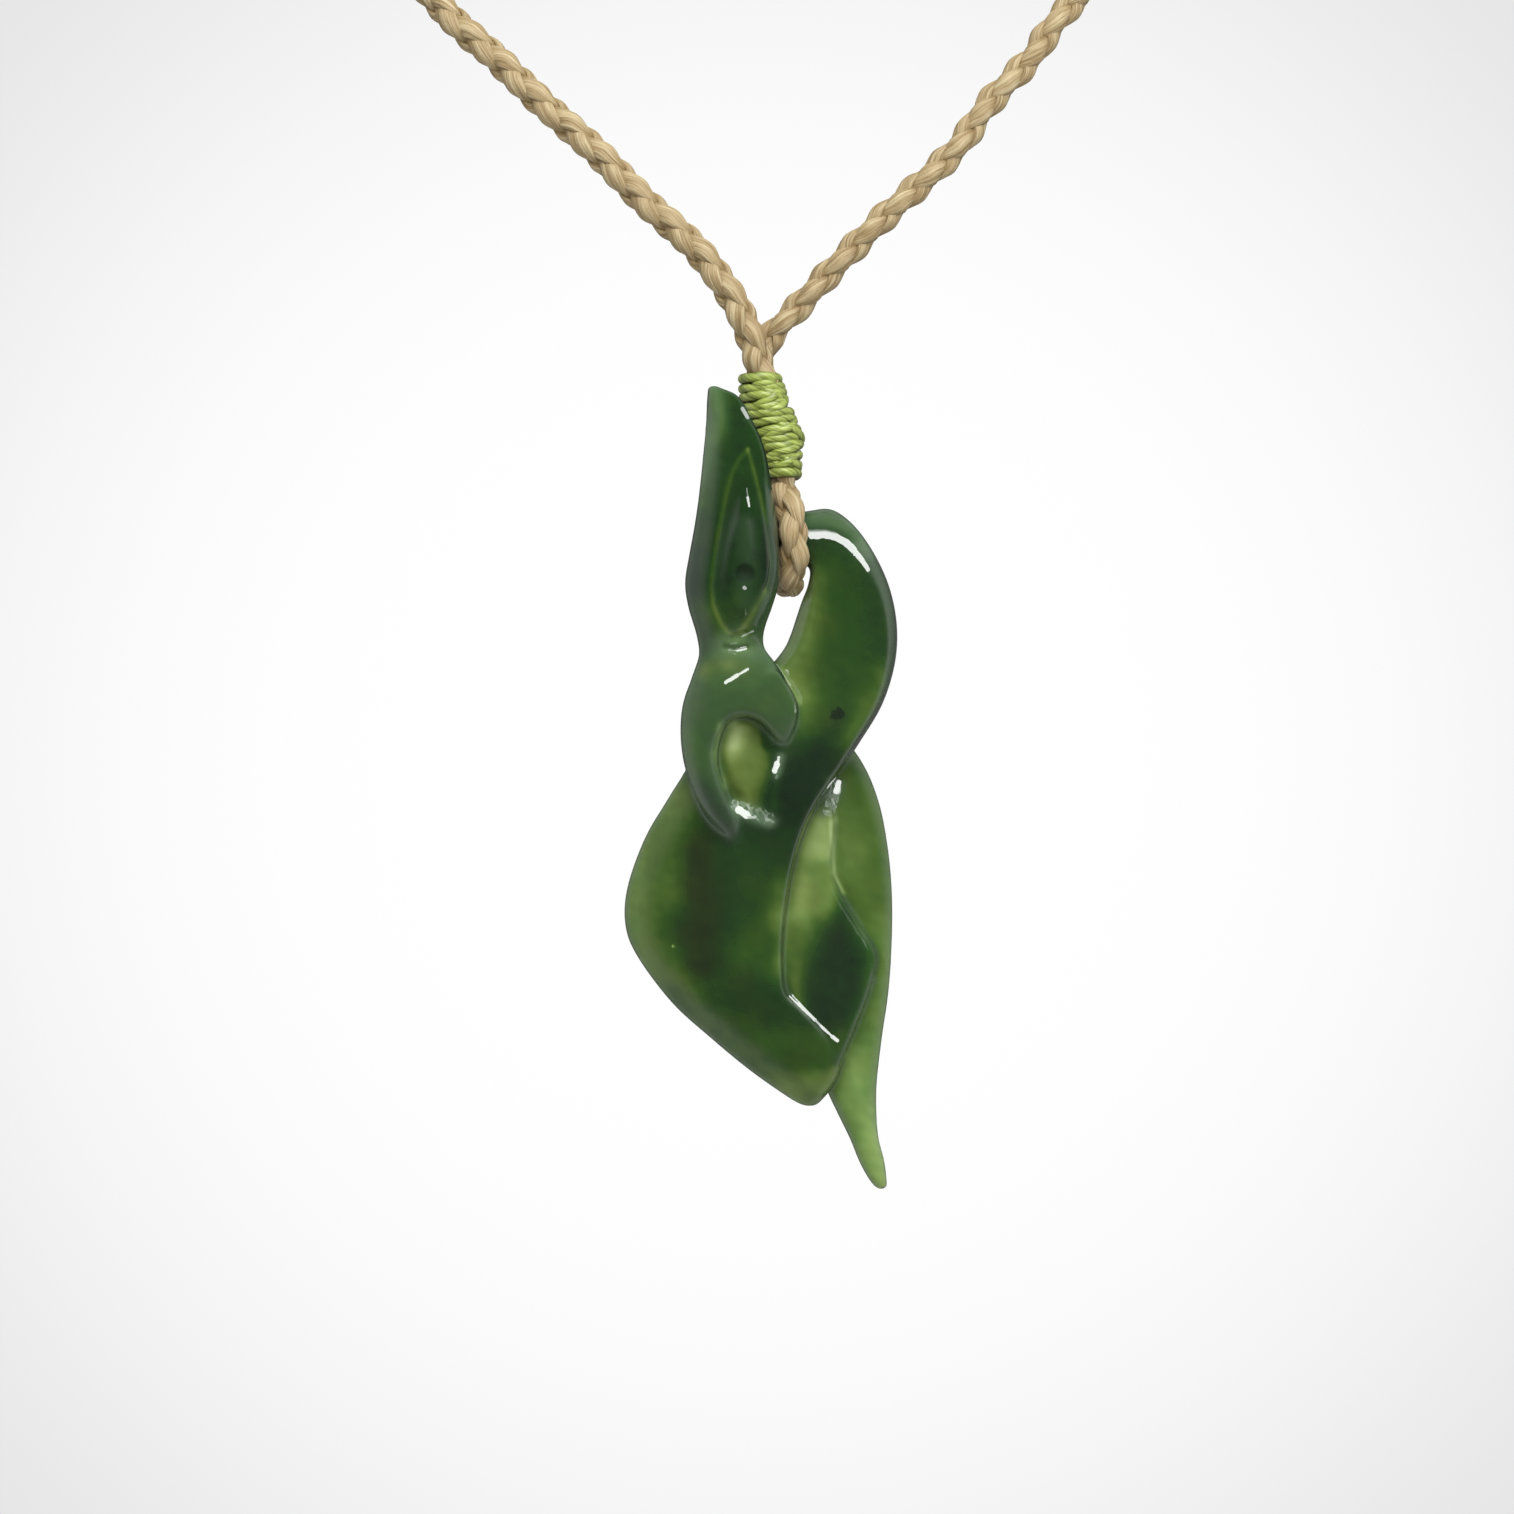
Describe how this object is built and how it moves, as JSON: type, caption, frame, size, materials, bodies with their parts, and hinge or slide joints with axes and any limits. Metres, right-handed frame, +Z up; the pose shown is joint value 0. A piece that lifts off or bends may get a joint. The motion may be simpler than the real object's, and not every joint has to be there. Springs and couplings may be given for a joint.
{
  "type": "jade pendant necklace",
  "caption": "Hanging necklace: flat stylised bird-headed jade carving with curled hook, loop and tail, swinging on a braided cord with a wound green binding.",
  "frame": {"origin": "at the nape, on the inner face of the closure, where the necklace rests on the back of the neck", "axes": "+Z up, the carving hangs towards -Z in front of the wearer, whose chest faces -Y"},
  "size_m": [0.1352, 0.1338, 0.2094],
  "materials": {
    "jade": "polished nephrite jade, dark green with light olive clouds where it is thin",
    "cord": "waxed natural fibre, four-strand braid",
    "thread": "waxed green thread, wound",
    "closure": "satin turned hardwood"
  },
  "bodies": {
    "necklace": {"cord": "cord", "binding": "thread", "closure": "closure"},
    "pendant": {"manaia": "jade"}
  },
  "joints": [
    {"name": "pendant_swing", "type": "hinge", "parent": "necklace", "child": "pendant", "pos_m": [0, -0.122, -0.15], "axis": [1, 0, 0], "range_deg": [-5, 20]}
  ]
}
